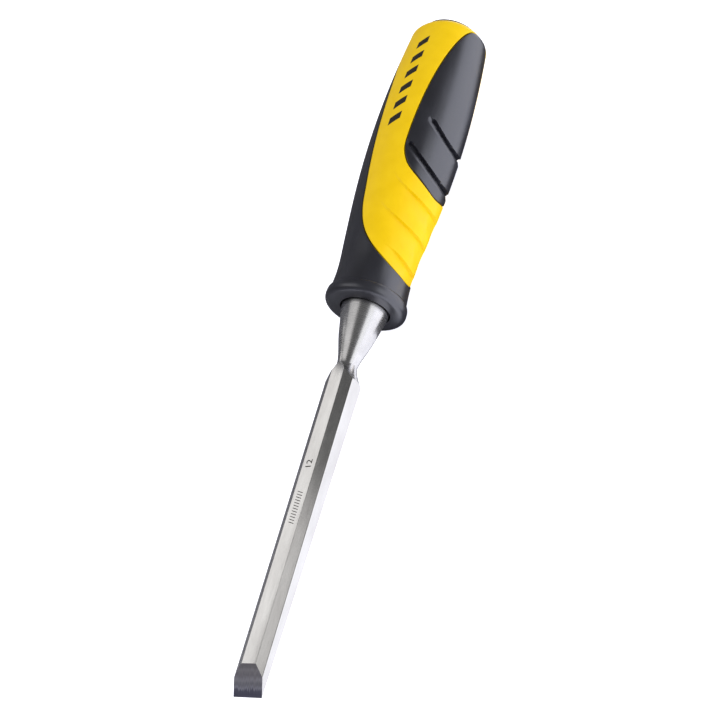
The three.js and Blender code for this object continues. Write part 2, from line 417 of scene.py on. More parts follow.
def groove_depth(points):
    """A slot, steep towards the handle's end, with a shallow ramp and a lip towards the blade."""
    total = np.zeros(len(points))
    for line in GROOVE_LINES:
        distance, side, _ = distance_to(points, line)
        across = -distance * side
        near_wall = 1 - smoothstep(across, *GROOVE_BACK_WALL)
        slot = GROOVE_DEPTH * smoothstep(across, *GROOVE_FRONT_WALL)
        ramp = RAMP_DEPTH * np.clip((across - RAMP_START) / RAMP_WIDTH, 0, 1)
        total = np.maximum(total, np.maximum(slot, ramp) * near_wall)
    return total


def rib_depth(points):
    """Each rib's surface starts low, just past the last one's edge, and comes back up."""
    total = np.zeros(len(points))
    for line in RIB_LINES:
        distance, side, along = distance_to(points, line)
        length = lengths_along(line)[-1]
        across = distance * side
        step = smoothstep(across, *RIB_STEP) * (1 - smoothstep(across, RIB_STEP[1], RIB_FADE))
        grows = smoothstep(along, 0, length * 0.4) * (1 - smoothstep(along, length * 0.8, length))
        total = np.maximum(total, RIB_DEPTH * step * grows)
    return total


# ---- Meshing a region of the surface ----


def inside_polygon(points, polygon):
    """Which of the points lie in the polygon."""
    x, y = points[:, 0], points[:, 1]
    inside = np.zeros(len(points), bool)
    for (ax, ay), (bx, by) in zip(polygon, np.roll(polygon, -1, axis=0), strict=True):
        crosses = (ay > y) != (by > y)
        if crosses.any():
            at = (bx - ax) * (y - ay) / (by - ay + (by == ay)) + ax
            inside ^= crosses & (x < at)
    return inside


def rows_of_t(step):
    """Values of t, closer together where the profile turns quickly."""
    turn = np.unwrap(np.arctan2(PROFILE_HEADING[:, 1], PROFILE_HEADING[:, 0]))
    turning = np.abs(np.gradient(turn, PROFILE_T))
    density = np.maximum(1 / step, turning / math.radians(8))
    total = np.concatenate([[0], np.cumsum((density[1:] + density[:-1]) / 2 * np.diff(PROFILE_T))])
    return np.interp(np.linspace(0, total[-1], round(total[-1]) + 1), total, PROFILE_T)


ROWS = rows_of_t(SKIN_STEP)
COLUMNS = np.linspace(FIRST_S, LAST_S, round((LAST_S - FIRST_S) / SKIN_STEP) + 1)


def grid_points():
    """Points over the whole chart, every other row shifted by half a step."""
    points = [
        (t, s)
        for i, t in enumerate(ROWS[1:-1])
        for s in (COLUMNS[1:-1] if i % 2 else (COLUMNS[1:] + COLUMNS[:-1]) / 2)
    ]
    return np.array(points)


def fine_points(lines, reach):
    """A closer grid near detail lines."""
    low = np.min([line.min(axis=0) for line in lines], axis=0) - reach
    high = np.max([line.max(axis=0) for line in lines], axis=0) + reach
    t, s = np.meshgrid(
        np.arange(low[0], high[0], DETAIL_STEP), np.arange(low[1], high[1], DETAIL_STEP)
    )
    points = np.stack([t.ravel(), s.ravel()], axis=1)
    return points[nearest_of(points, lines) < reach]


def between(low, high, values):
    """The values between low and high that aren't close to either."""
    return [value for value in values if low + ROW_MARGIN < value < high - ROW_MARGIN]


def cut_line(from_t, to_t, s):
    """Points along one edge of the cut, on the rows."""
    low, high = sorted((from_t, to_t))
    values = [low, *between(low, high, ROWS), high]
    return np.array([(t, s) for t in (values if from_t < to_t else reversed(values))])


def cross_line(t, from_s, to_s):
    """Points along a ring of the handle, on the columns."""
    low, high = sorted((from_s, to_s))
    values = [low, *between(low, high, COLUMNS), high]
    return np.array([(t, s) for s in (values if from_s < to_s else reversed(values))])


def seam_rings(curve, side, is_loop=False):
    """Rows of points next to a seam, for its rounded edge."""
    distances = [side * SEAM_RADIUS * (1 - math.cos(math.radians(a))) for a in (25, 50, 75, 105)]
    rings = [offset(curve, distance, is_loop) for distance in distances]
    return rings if is_loop else [ring[1:-1] for ring in rings]


def rounded_edge(points, seams):
    """How far a point lies below the surface because it is near a seam."""
    inwards = np.clip(SEAM_RADIUS - nearest_of(points, seams), 0, SEAM_RADIUS)
    return SEAM_RADIUS - np.sqrt(SEAM_RADIUS**2 - inwards**2)


def region(polygon, hole=None, seams=(), rings=(), fine=None, depth=None):
    """Triangles that fill a polygon in (t, s), and the depth at each point. Points are close
    together near the seams and where fine ones are given."""
    polygon = polygon[np.linalg.norm(polygon - np.roll(polygon, 1, axis=0), axis=1) > 1e-6]
    outlines = [polygon] if hole is None else [polygon, hole]
    borders = [closed(outline) for outline in outlines]
    spaced = grid_points()
    spaced = spaced[nearest_of(spaced, borders) > SKIN_STEP * 0.45]
    if seams:
        spaced = spaced[nearest_of(spaced, seams) > SEAM_RADIUS * 2]
    if fine is not None:
        apart = np.abs(spaced[:, None, :] - fine[None, :, :]).max(axis=2).min(axis=1)
        fine = fine[nearest_of(fine, borders) > SEAM_RADIUS * 1.6]
        spaced = np.concatenate([spaced[apart > DETAIL_STEP * 1.2], fine])
    candidates = np.concatenate([*rings, spaced])
    candidates = candidates[inside_polygon(candidates, polygon)]
    if hole is not None:
        candidates = candidates[~inside_polygon(candidates, hole)]
    points = np.concatenate([*outlines, candidates])
    loops = [list(range(len(polygon)))]
    if hole is not None:
        loops.append(list(range(len(polygon), len(polygon) + len(hole))))
    made = delaunay_2d_cdt([Vector(p) for p in points], [], loops, 1, 1e-7)
    flat = np.array([tuple(v) for v in made[0]])
    triangles = np.array([tuple(f) for f in made[2]])
    if hole is not None:
        triangles = triangles[~inside_polygon(flat[triangles].mean(axis=1), hole)]
    same_at_cut = np.where(flat[:, 1:] > LAST_S - CUT_TOLERANCE, flat * (1, 0) + (0, FIRST_S), flat)
    depths = rounded_edge(same_at_cut, seams) if seams else np.zeros(len(flat))
    if depth is not None:
        depths = np.maximum(depths, depth(same_at_cut))
    return {"points": flat, "triangles": triangles, "depth": depths}


def build_skin(regions, inner):
    """A closed solid from regions of the surface and an inner surface under all of them. Where two
    regions meet at different depths, a wall joins them."""
    vertices, faces, edges, under = [], [], {}, {}

    def key(point):
        return (round(point[0], 5), round(point[1], 5))

    for part in regions:
        points, triangles = part["points"], part["triangles"]
        angle = points[:, 1] / ROUND_BASE
        base = len(vertices)
        vertices.extend(on_surface(points[:, 0], angle, part["depth"]))
        below = inner(points[:, 0], angle)
        for i in np.unique(triangles).tolist():
            if key(points[i]) not in under:
                under[key(points[i])] = len(vertices)
                vertices.append(below[i])
        for a, b, c in triangles.tolist():
            faces.append((base + a, base + b, base + c))
            faces.append(tuple(under[key(points[k])] for k in (c, b, a)))
            for p, q in ((a, b), (b, c), (c, a)):
                name = frozenset((key(points[p]), key(points[q])))
                edges.setdefault(name, []).append((base + p, base + q, points[p], points[q]))
    add_walls(faces, edges, under, key)
    return np.array(vertices), faces


def on_cut(point):
    """Whether a point lies on the line where the surface is cut open."""
    return point[1] < FIRST_S + CUT_TOLERANCE or point[1] > LAST_S - CUT_TOLERANCE


def add_walls(faces, edges, under, key):
    """Closes the skin at its edges: between two regions, and down to the inner surface at the
    border. Where both kinds of wall meet, a triangle fills the corner."""
    joints, border = {}, set()
    for uses in edges.values():
        a, b, p, q = uses[0]
        if len(uses) == 2:
            d, c, *_ = uses[1]
            if (a, b) != (c, d):
                faces.append((b, a, c, d))
                joints[key(p)] = (a, c)
                joints[key(q)] = (b, d)
        elif not (on_cut(p) and on_cut(q)):
            faces.append((b, a, under[key(p)], under[key(q)]))
            border |= {key(p), key(q)}
    for point in border & set(joints):
        faces.append((*joints[point], under[point]))


def mesh_object(name, vertices, faces, sharp_degrees=35):
    """A mesh piece from points in the tool's frame, welded, facing outwards, smooth but for its edges."""
    mesh = bpy.data.meshes.new(name)
    mesh.from_pydata([Vector(v) * MM + TOOL_ORIGIN for v in vertices], [], faces)
    mark_edges(mesh, sharp_degrees)
    piece = bpy.data.objects.new(name, mesh)
    bpy.context.scene.collection.objects.link(piece)
    return piece


def mark_edges(mesh, sharp_degrees):
    """Welds a mesh, makes its faces agree, and marks the edges between faces that turn sharply.

    The shell's faces agree but stay turned inwards, which recalc_face_normals doesn't mend.
    """
    tidy = bmesh.new()
    tidy.from_mesh(mesh)
    bmesh.ops.remove_doubles(tidy, verts=tidy.verts, dist=2e-6)
    bmesh.ops.recalc_face_normals(tidy, faces=tidy.faces)
    for face in tidy.faces:
        face.smooth = True
    for edge in tidy.edges:
        edge.smooth = not edge.is_manifold or edge.calc_face_angle() < math.radians(sharp_degrees)
    tidy.to_mesh(mesh)
    tidy.free()


# ---- The handle's pieces ----

PANEL_SEAM = resampled(on_chart(panel_outline()), SEAM_STEP)[:-1]
FRONT_SEAM = resampled(on_chart(front_outline()), SEAM_STEP)
PANEL_POCKET = offset(PANEL_SEAM, -GAP, is_loop=True)
UNDERLAY_T = float(t_at(UNDERLAY_START))
FRONT_POCKET = with_points_at(offset(FRONT_SEAM, -GAP), UNDERLAY_T)


def front_grip_inner(t, angle):
    """Under the spine, SKIN deep. Towards the mouth, the hole for the bolster and the core."""
    spine_start = t_at(UNDERLAY_START - 6)
    sunk = on_surface(t, angle, SKIN)
    x = COLLAR_FACE + (UNDERLAY_START - 6 - COLLAR_FACE) * np.clip(t / spine_start, 0, 1)
    centre = AXIS_HEIGHT + rise(x) * smoothstep(x, COLLAR_FACE + 1, COLLAR_FACE + 6)
    radius = MOUTH_RADIUS + GAP * smoothstep(x, COLLAR_FACE + 1, COLLAR_FACE + 4)
    hole = on_round(x, radius, angle, centre)
    share = smoothstep(t, spine_start * 0.75, spine_start)[:, None]
    return hole * (1 - share) + sunk * share


def shell_inner(t, angle):
    """The space for the core, which widens to its flange."""
    x = profile_at(t)[0]
    wide = smoothstep(x, FLANGE_START - GAP, FLANGE_START + 2 - GAP)
    radius = CORE_RADIUS + GAP + (STRIKE_FACE_RADIUS - CORE_RADIUS) * wide
    return on_round(x, radius, angle, AXIS_HEIGHT + rise(x))


def make_front_grip():
    """The collar and the spine."""
    end_t = FRONT_SEAM[0, 0]
    polygon = chain(
        FRONT_SEAM,
        cut_line(end_t, 0, LAST_S),
        cross_line(0, LAST_S, FIRST_S),
        cut_line(0, end_t, FIRST_S)[:-1],
    )
    part = region(polygon, seams=[FRONT_SEAM], rings=seam_rings(FRONT_SEAM, 1))
    return mesh_object("front_grip_skin", *build_skin([part], front_grip_inner))


def make_side_panel():
    """The soft panel with its two grooves."""
    part = region(
        PANEL_SEAM, seams=[closed(PANEL_SEAM)], rings=seam_rings(PANEL_SEAM, 1, is_loop=True),
        fine=fine_points(GROOVE_LINES, 2.1), depth=groove_depth,
    )
    return mesh_object(
        "side_panel_skin", *build_skin([part], lambda t, angle: on_surface(t, angle, SKIN))
    )


def pocket_depth(points):
    """The floor of a pocket lies under the soft part that fills it."""
    return np.full(len(points), SKIN + GAP)


def make_shell():
    """The shell shows between the two seams and runs on under the panel and under the spine."""
    front_t = FRONT_POCKET[0, 0]
    shown = chain(
        FRONT_POCKET,
        cut_line(front_t, PROFILE_END, LAST_S),
        cross_line(PROFILE_END, LAST_S, FIRST_S),
        cut_line(PROFILE_END, front_t, FIRST_S)[:-1],
    )
    crossings = np.flatnonzero(np.abs(FRONT_POCKET[:, 0] - UNDERLAY_T) < 1e-9)
    over, beneath = FRONT_POCKET[: crossings[0] + 1], FRONT_POCKET[crossings[-1] :]
    over_floor = chain(
        over,
        cross_line(UNDERLAY_T, over[-1, 1], FIRST_S),
        cut_line(UNDERLAY_T, front_t, FIRST_S)[:-1],
    )
    beneath_floor = chain(
        beneath,
        cut_line(front_t, UNDERLAY_T, LAST_S),
        cross_line(UNDERLAY_T, LAST_S, beneath[0, 1])[:-1],
    )
    parts = [
        region(
            shown, hole=PANEL_POCKET, seams=[FRONT_POCKET, closed(PANEL_POCKET)],
            rings=seam_rings(FRONT_POCKET, -1) + seam_rings(PANEL_POCKET, -1, is_loop=True),
            fine=fine_points(RIB_LINES, 1), depth=rib_depth,
        ),
        *(region(floor, depth=pocket_depth) for floor in (PANEL_POCKET, over_floor, beneath_floor)),
    ]
    return mesh_object("shell_skin", *build_skin(parts, shell_inner))


def make_bars():
    """A row of slanted printed bars on top of the shell, thin plates that follow its surface."""
    across, along = 6, 10
    vertices, faces = [], []
    u, v = (grid.ravel() for grid in np.meshgrid(np.linspace(0, 1, across), np.linspace(0, 1, along)))
    for start in BAR_STARTS:
        x = start + BAR_WIDTH * u + BAR_SLANT * v
        angle = np.radians(BAR_ANGLES[0] + (BAR_ANGLES[1] - BAR_ANGLES[0]) * v)
        base, count = len(vertices), across * along
        for depth in (-MARK_RAISED, MARK_SUNK):
            vertices.extend(on_surface(t_at(x), angle, depth))
        for i in range(along - 1):
            for k in range(across - 1):
                a = base + i * across + k
                upper = (a, a + 1, a + 1 + across, a + across)
                faces.append(upper)
                faces.append(tuple(c + count for c in reversed(upper)))
        rim = [
            *range(across), *range(2 * across - 1, count, across),
            *range(count - 2, count - across - 1, -1), *range(count - 2 * across, 0, -across),
        ]
        for a, b in zip(rim, rim[1:] + rim[:1], strict=True):
            faces.append((base + a, base + b, base + b + count, base + a + count))
    return mesh_object("bars", vertices, faces)


def make_blade_mark(text, x):
    """Text in plain figures or strokes on the blade's top face, from x towards the handle."""
    curve = bpy.data.curves.new("blade_mark", "FONT")
    curve.body = text
    curve.align_y = "CENTER"
    curve.size = BLADE_MARK_HEIGHT * 1.4 * MM
    curve.extrude = (MARK_RAISED + MARK_SUNK) / 2 * MM
    writing = bpy.data.objects.new("blade_mark", curve)
    bpy.context.scene.collection.objects.link(writing)
    bpy.context.view_layer.update()
    mesh = bpy.data.meshes.new_from_object(writing.evaluated_get(bpy.context.evaluated_depsgraph_get()))
    bpy.data.objects.remove(writing)
    slope = math.atan2(THICKNESS[1] - THICKNESS[0], TAPER_LENGTH)
    height = lerp_along(THICKNESS, x) + (MARK_RAISED - MARK_SUNK) / 2
    place = Matrix.Translation(Vector((x, 0, height)) * MM + TOOL_ORIGIN)
    mesh.transform(place @ Matrix.Rotation(-slope, 4, "Y"))
    mark_edges(mesh, 35)
    mark = bpy.data.objects.new("blade_mark", mesh)
    bpy.context.scene.collection.objects.link(mark)
    return mark


def print_on(piece, marks, material_index):
    """Makes marks part of piece, in its material of that number."""
    joined = bmesh.new()
    joined.from_mesh(piece.data)
    plain = len(joined.faces)
    joined.from_mesh(marks.data)
    joined.faces.ensure_lookup_table()
    for face in joined.faces[plain:]:
        face.material_index = material_index
    joined.to_mesh(piece.data)
    joined.free()
    bpy.data.objects.remove(marks)


def turned_mesh(name, profile, follows_handle, sides=TURNED_SIDES):
    """A closed turned solid. The profile is (x, radius) points from axis to axis, and each point of it
    stands on the handle's centre line or on the tang's."""
    angles = np.arange(sides) * 2 * math.pi / sides
    vertices, rings, faces = [], [], []
    for (x, radius), risen in zip(profile, follows_handle, strict=True):
        centre = AXIS_HEIGHT + (float(rise(x)) if risen else 0)
        if radius < 1e-6:
            rings.append([len(vertices)] * sides)
            vertices.append((x, 0, centre))
        else:
            rings.append(list(range(len(vertices), len(vertices) + sides)))
            vertices.extend(on_round(x, radius, angles, centre))
    for near, far in zip(rings, rings[1:], strict=False):
        for i in range(sides):
            corners = [near[i], near[i - 1], far[i - 1], far[i]]
            face = [c for k, c in enumerate(corners) if c not in corners[:k]]
            if len(face) > 2:
                faces.append(face)
    return mesh_object(name, vertices, faces)


def rounded(points, radii, steps=4):
    """An (x, radius) polyline whose inner corners are rounded by the given lengths."""
    points = [np.array(p, float) for p in points]
    line = [points[0]]
    for before, corner, after, radius in zip(points, points[1:], points[2:], radii, strict=False):
        if radius == 0:
            line.append(corner)
            continue
        back = corner + (before - corner) / np.linalg.norm(before - corner) * radius
        on = corner + (after - corner) / np.linalg.norm(after - corner) * radius
        line.extend(bezier(back, corner, on, steps=steps))
    line.append(points[-1])
    return line


def make_core():
    """The hard core: flange and strike face at the back, bore for the tang from the front."""
    outside = rounded(
        [
            (STRIKE_FACE_END, 0),
            (STRIKE_FACE_END, STRIKE_FACE_RADIUS),
            (FLANGE_START + 2, STRIKE_FACE_RADIUS),
            (FLANGE_START, CORE_RADIUS),
            (CORE_FRONT, CORE_RADIUS),
            (CORE_FRONT, TANG_RADIUS + GAP),
        ],
        [0.45, 0.2, 0.2, 0.3],
    )
    along = np.linspace(FLANGE_START, CORE_FRONT, 30)[1:-1]
    wall = [(x, CORE_RADIUS) for x in along]
    front = next(i for i, p in enumerate(outside) if p[0] < CORE_FRONT + 1)
    bore_end = TANG_END + 1
    profile = [*outside[:front], *wall, *outside[front:], (bore_end, TANG_RADIUS + GAP), (bore_end, 0)]
    follows = [True] * (len(profile) - 3) + [False] * 3
    return turned_mesh("striking_core", profile, follows)


# ---- Blade ----


def lerp_along(ends, x):
    """A tapered size at x."""
    return ends[0] + (ends[1] - ends[0]) * x / TAPER_LENGTH


def blade_section(x):
    """The blade's flats at x, seen from the cutting edge, with its long edges eased."""
    half = BLADE_WIDTH / 2
    land, top, thickness = (lerp_along(ends, x) for ends in (SIDE_LAND, TOP_WIDTH, THICKNESS))
    corners = [
        (-half, 0), (half, 0), (half, land), (top / 2, thickness), (-top / 2, thickness), (-half, land),
    ]
    eased = []
    for i, corner in enumerate(corners):
        corner = np.array(corner)
        back = np.array(corners[i - 1]) - corner
        on = np.array(corners[(i + 1) % len(corners)]) - corner
        start = corner + back / np.linalg.norm(back) * LONG_EDGE_RADIUS
        end = corner + on / np.linalg.norm(on) * LONG_EDGE_RADIUS
        eased.extend(bezier(start, corner, end, steps=3))
    return [(x, y, z) for y, z in eased]


def lofted(name, sections):
    """A closed solid through sections with equal numbers of points."""
    count = len(sections[0])
    vertices = [point for section in sections for point in section]
    faces = [tuple(range(count)), tuple(range(len(vertices) - count, len(vertices)))[::-1]]
    for k in range(len(sections) - 1):
        for i in range(count):
            j = (i + 1) % count
            faces.append((k * count + i, k * count + j, (k + 1) * count + j, (k + 1) * count + i))
    return mesh_object(name, vertices, faces)


def cut_by_plane(piece, point, normal):
    """Removes what lies in front of a plane, and closes the cut."""
    cut = bmesh.new()
    cut.from_mesh(piece.data)
    made = bmesh.ops.bisect_plane(
        cut, geom=[*cut.verts, *cut.edges, *cut.faces], plane_co=Vector(point) * MM + TOOL_ORIGIN,
        plane_no=normal, clear_outer=True,
    )
    rim = [e for e in made["geom_cut"] if isinstance(e, bmesh.types.BMEdge)]
    bmesh.ops.contextual_create(cut, geom=rim)
    cut.to_mesh(piece.data)
    cut.free()


def combined(piece, tool, operation):
    """piece after a boolean with tool, which is removed."""
    modifier = piece.modifiers.new(operation, "BOOLEAN")
    modifier.operation = operation
    modifier.object = tool
    modifier.solver = "EXACT"
    bpy.context.view_layer.update()
    evaluated = piece.evaluated_get(bpy.context.evaluated_depsgraph_get())
    mesh = bpy.data.meshes.new_from_object(evaluated)
    piece.modifiers.clear()
    piece.data = mesh
    bpy.data.objects.remove(tool)
    return piece


def forging_profile():
    """(x, radius) of the turned part: the neck, which starts as a wide shoulder that the flats cut
    into, the bolster and the tang. It begins wide enough to hold the whole blade."""
    neck = chain(
        bezier((101.5, 9), (105.5, 5.6), (108.2, 4), (FACETS_END, NECK_RADIUS), steps=40),
        bezier((FACETS_END, NECK_RADIUS), (114, 3.55), (118.2, 5.2), (122, 6), steps=40),
    )
    bolster = rounded(
        [
            (122, 6), (COLLAR_FACE - 0.4, BOLSTER_RADIUS), (BOLSTER_BACK, BOLSTER_RADIUS),
            (BOLSTER_BACK, TANG_RADIUS), (BOLSTER_BACK + 30, TANG_RADIUS),
            (TANG_END - 3, TANG_TIP_RADIUS), (TANG_END, 0),
        ],
        [1.5, BOLSTER_ROUNDING, 0, 0, 0.3],
    )
    return [(-1, 0), (-1, 9), *neck, *bolster[1:]]


def make_blade():
    """The turned forging, cut down to the blade's flats and bevel in front of the neck."""
    profile = forging_profile()
    forging = turned_mesh("blade_forging", profile, [False] * len(profile))
    stock = lofted("stock", [blade_section(-1), blade_section(FACETS_END + 4)])
    slope = (lerp_along(THICKNESS, BEVEL_LENGTH) - EDGE_LAND) / BEVEL_LENGTH
    cut_by_plane(stock, (0, 0, EDGE_LAND), Vector((-slope, 0, 1)).normalized())
    cut_by_plane(stock, (0, 0, 0), Vector((-1, 0, 0)))
    around = lofted("around", [
        [(x, -30, -30), (x, 30, -30), (x, 30, 30), (x, -30, 30)] for x in (-60, FACETS_END)
    ])
    waste = combined(around, stock, "DIFFERENCE")
    combined(forging, waste, "DIFFERENCE")
    mark_edges(forging.data, 9)
    return forging


# ---- Materials ----


class Finish:
    """A Principled material whose colour, roughness and bump come from noise in the object's own
    space, in millimetres."""

    def __init__(self, name, settings):
        self.material = bpy.data.materials.new(name)
        self.material.use_nodes = True
        self.tree = self.material.node_tree
        self.shader = self.tree.nodes["Principled BSDF"]
        for socket, value in settings.items():
            self.shader.inputs[socket].default_value = value
        self.coordinates = self.tree.nodes.new("ShaderNodeTexCoord").outputs["Object"]

    def node(self, kind, **inputs):
        """A node whose inputs are set to values or joined to sockets."""
        made = self.tree.nodes.new(kind)
        for name, value in inputs.items():
            socket = made.inputs[name.replace("_", " ")]
            if isinstance(value, bpy.types.NodeSocket):
                self.tree.links.new(value, socket)
            else:
                socket.default_value = value
        return made

    def noise(self, size, stretch=(1, 1, 1), detail=3.0, offset=0.0):
        """Noise whose grains are about size millimetres, drawn out along each axis by stretch."""
        place = self.node("ShaderNodeMapping", Vector=self.coordinates)
        place.inputs["Scale"].default_value = [1 / (MM * size * s) for s in stretch]
        place.inputs["Location"].default_value = (offset, offset, offset)
        return self.node("ShaderNodeTexNoise", Vector=place.outputs[0], Scale=1.0, Detail=detail).outputs[0]

    def spread(self, value, low, high, start=0.3, end=0.7):
        """value, from start to end, spread between low and high."""
        spread = self.node("ShaderNodeMapRange", Value=value)
        for name, number in zip(("From Min", "From Max", "To Min", "To Max"), (start, end, low, high)):
            spread.inputs[name].default_value = number
        return spread.outputs[0]

    def total(self, first, second):
        """The sum of two values."""
        added = self.tree.nodes.new("ShaderNodeMath")
        self.tree.links.new(first, added.inputs[0])
        self.tree.links.new(second, added.inputs[1])
        return added.outputs[0]

    def colours(self, value, *stops):
        """A colour that runs through the (place, colour) stops."""
        ramp = self.node("ShaderNodeValToRGB", Fac=value)
        elements = ramp.color_ramp.elements
        while len(elements) < len(stops):
            elements.new(0.5)
        for element, (place, colour) in zip(elements, stops):
            element.position = place
            element.color = (*colour, 1)
        self.tree.links.new(ramp.outputs[0], self.shader.inputs["Base Color"])

    def roughness(self, value):
        self.tree.links.new(value, self.shader.inputs["Roughness"])

    def bump(self, *heights):
        """Bumps of (value, height in millimetres), one on another."""
        normal = None
        for value, height in heights:
            bump = self.node("ShaderNodeBump", Height=value, Strength=1.0, Distance=height * MM)
            if normal:
                self.tree.links.new(normal, bump.inputs["Normal"])
            normal = bump.outputs[0]
        self.tree.links.new(normal, self.shader.inputs["Normal"])


def ground_steel():
    """The blade's flats: surface-ground, with faint slanted grinding lines and clouding."""
    finish = Finish("ground_steel", {"Metallic": 1.0})
    clouds = finish.noise(6, (3, 1, 1), 4.0)
    lines = finish.noise(0.16, (30, 1, 1), 2.0)
    finish.colours(clouds, (0.3, (0.54, 0.53, 0.525)), (0.7, (0.64, 0.635, 0.63)))
    finish.roughness(finish.spread(lines, 0.12, 0.2))
    finish.bump((lines, 0.0006), (clouds, 0.006))
    return finish.material


def turned_steel():
    """The neck and bolster: turned and buffed, with fine rings round the axis."""
    finish = Finish("turned_steel", {"Metallic": 1.0})
    clouds = finish.noise(3, (1, 1, 1), 4.0)
    rings = finish.noise(0.12, (1, 60, 60), 2.0)
    finish.colours(clouds, (0.3, (0.56, 0.555, 0.56)), (0.7, (0.65, 0.645, 0.65)))
    finish.roughness(finish.spread(rings, 0.22, 0.32))
    finish.bump((rings, 0.0003), (clouds, 0.003))
    return finish.material


def painted_reflection_bevel():
    """The ground bevel: scratches that run back from the edge, and painted reflections across it: dark
    and bluish at the edge, a bright line behind that, then light and darker bands towards the heel."""
    finish = Finish("bevel_steel", {"Metallic": 1.0})
    scratches = finish.noise(0.45, (30, 1, 30), 3.0)
    bands = finish.noise(1.6, (1, 30, 1), 2.0, offset=3.0)
    along = finish.node("ShaderNodeSeparateXYZ", Vector=finish.coordinates).outputs["X"]
    from_edge = finish.spread(along, 0.0, 1.0, TOOL_ORIGIN.x, TOOL_ORIGIN.x + BEVEL_LENGTH * MM)
    streaked = finish.total(from_edge, finish.spread(scratches, -0.09, 0.09))
    # Painted reflections: from dark bluish steel at the edge through bright and darker bands to the heel.
    finish.colours(
        streaked, (0.06, (0.26, 0.26, 0.38)), (0.2, (0.30, 0.30, 0.42)), (0.27, (0.66, 0.66, 0.80)),
        (0.36, (0.50, 0.50, 0.60)), (0.5, (0.68, 0.67, 0.77)), (0.64, (0.52, 0.50, 0.58)),
        (0.78, (0.68, 0.66, 0.74)), (0.92, (0.54, 0.52, 0.58)),
    )
    finish.roughness(finish.spread(bands, 0.28, 0.42))
    finish.bump((scratches, 0.006), (bands, 0.004))
    return finish.material


def yellow_plastic():
    """The hard shell: moulded, satin, with a faint mottle."""
    finish = Finish("yellow_plastic", {"Specular IOR Level": 0.2})
    mottle = finish.noise(5, detail=2.0)
    grain = finish.noise(0.25, detail=2.0)
    finish.colours(mottle, (0.3, (0.90, 0.585, 0)), (0.7, (0.95, 0.63, 0.001)))
    finish.roughness(finish.spread(mottle, 0.32, 0.42))
    finish.bump((grain, 0.004), (mottle, 0.02))
    return finish.material


def soft_rubber():
    """Black elastomer, with a fine matt grain, slightly rubbed in places, and a painted cool tint on its
    reflections.
    """
    finish = Finish("soft_rubber", {
        # The cool Specular Tint paints the blue of cool light into the rubber's reflections.
        "Specular IOR Level": 1.0, "IOR": 1.62, "Specular Tint": (0.9, 0.92, 1, 1),
    })
    rubbed = finish.noise(7, (2, 1, 1), 5.0)
    grain = finish.noise(0.22, detail=3.0)
    finish.colours(rubbed, (0.3, (0.007, 0.007, 0.011)), (0.75, (0.014, 0.014, 0.022)))
    finish.roughness(finish.spread(rubbed, 0.30, 0.40))
    finish.bump((grain, 0.012), (rubbed, 0.03))
    return finish.material


def hard_black():
    """The core: a hard moulded plastic, finely textured."""
    finish = Finish("core_plastic", {})
    grain = finish.noise(0.3, detail=3.0)
    finish.colours(grain, (0.3, (0.018, 0.018, 0.020)), (0.7, (0.026, 0.026, 0.029)))
    finish.roughness(finish.spread(grain, 0.35, 0.5))
    finish.bump((grain, 0.008))
    return finish.material


def printed_ink():
    """Thin dark print, a little uneven."""
    finish = Finish("printed_ink", {})
    speckle = finish.noise(0.4, detail=2.0)
    finish.colours(speckle, (0.3, (0.012, 0.011, 0.010)), (0.7, (0.030, 0.027, 0.020)))
    finish.roughness(finish.spread(speckle, 0.45, 0.6))
    finish.bump((speckle, 0.003))
    return finish.material


def pale_floor():
    """A lit table: white, and slightly bright in itself, so that shadows on it stay faint."""
    finish = Finish("studio_floor", {
        "Base Color": (0.75, 0.75, 0.77, 1), "Roughness": 0.85, "Specular IOR Level": 0.0,
        "Emission Color": (0.96, 0.97, 1.06, 1), "Emission Strength": 0.92,
    })
    return finish.material


def grey_card():
    """Matt grey card, for the flags, whose dark reflections are painted shade."""
    finish = Finish("grey_card", {
        "Base Color": (0.16, 0.16, 0.17, 1), "Roughness": 1.0, "Specular IOR Level": 0.0,
    })
    return finish.material


# ---- Stage ----


def make_camera():
    data = bpy.data.cameras.new("camera")
    data.lens = LENS_MM
    data.sensor_width = 36
    data.clip_start = 0.01
    data.clip_end = 20
    camera = bpy.data.objects.new("camera", data)
    turn = Matrix((CAMERA_RIGHT, CAMERA_UP, CAMERA_BACK)).transposed()
    camera.matrix_world = Matrix.Translation(CAMERA_PLACE) @ turn.to_4x4()
    bpy.context.scene.collection.objects.link(camera)
    bpy.context.scene.camera = camera


def area_light(name, centre, size, brightness, colour, aim):
    """A soft panel that faces aim. Its brightness is that of its surface."""
    data = bpy.data.lights.new(name, "AREA")
    data.shape = "RECTANGLE"
    data.size, data.size_y = size
    data.energy = brightness * math.pi * size[0] * size[1]
    data.color = colour
    light = bpy.data.objects.new(name, data)
    light.location = centre
    light.rotation_euler = (Vector(centre) - Vector(aim)).to_track_quat("Z", "Y").to_euler()
    bpy.context.scene.collection.objects.link(light)


def flag(name, corners, material):
    """A dark card, with corners in millimetres, that only reflections see, so it paints dark reflections
    and casts no shadow. Studios draw the edges of bright steel with such cards."""
    mesh = bpy.data.meshes.new(name)
    mesh.from_pydata([Vector(c) * MM for c in corners], [], [(0, 1, 2, 3)])
    mesh.materials.append(material)
    card = bpy.data.objects.new(name, mesh)
    bpy.context.scene.collection.objects.link(card)
    card.visible_camera = False
    card.visible_diffuse = False
    card.visible_shadow = False


def painted_floor_shade(name, low, high, material):
    """A card that lies just above the floor, from one (x, y) to another, in millimetres: painted shade
    near the tool, seen only in reflections.
    """
    corners = [(low[0], low[1]), (high[0], low[1]), (high[0], high[1]), (low[0], high[1])]
    flag(name, [(x, y, CARD_HEIGHT) for x, y in corners], material)


def back_flag(name, from_x, to_x, height, material):
    """A card that stands behind the tool, a painted dark reflection on the steel's far edges."""
    corners = [(from_x, CARD_HEIGHT), (to_x, CARD_HEIGHT), (to_x, height), (from_x, height)]
    flag(name, [(x, BACK_CARD_Y, z) for x, z in corners], material)


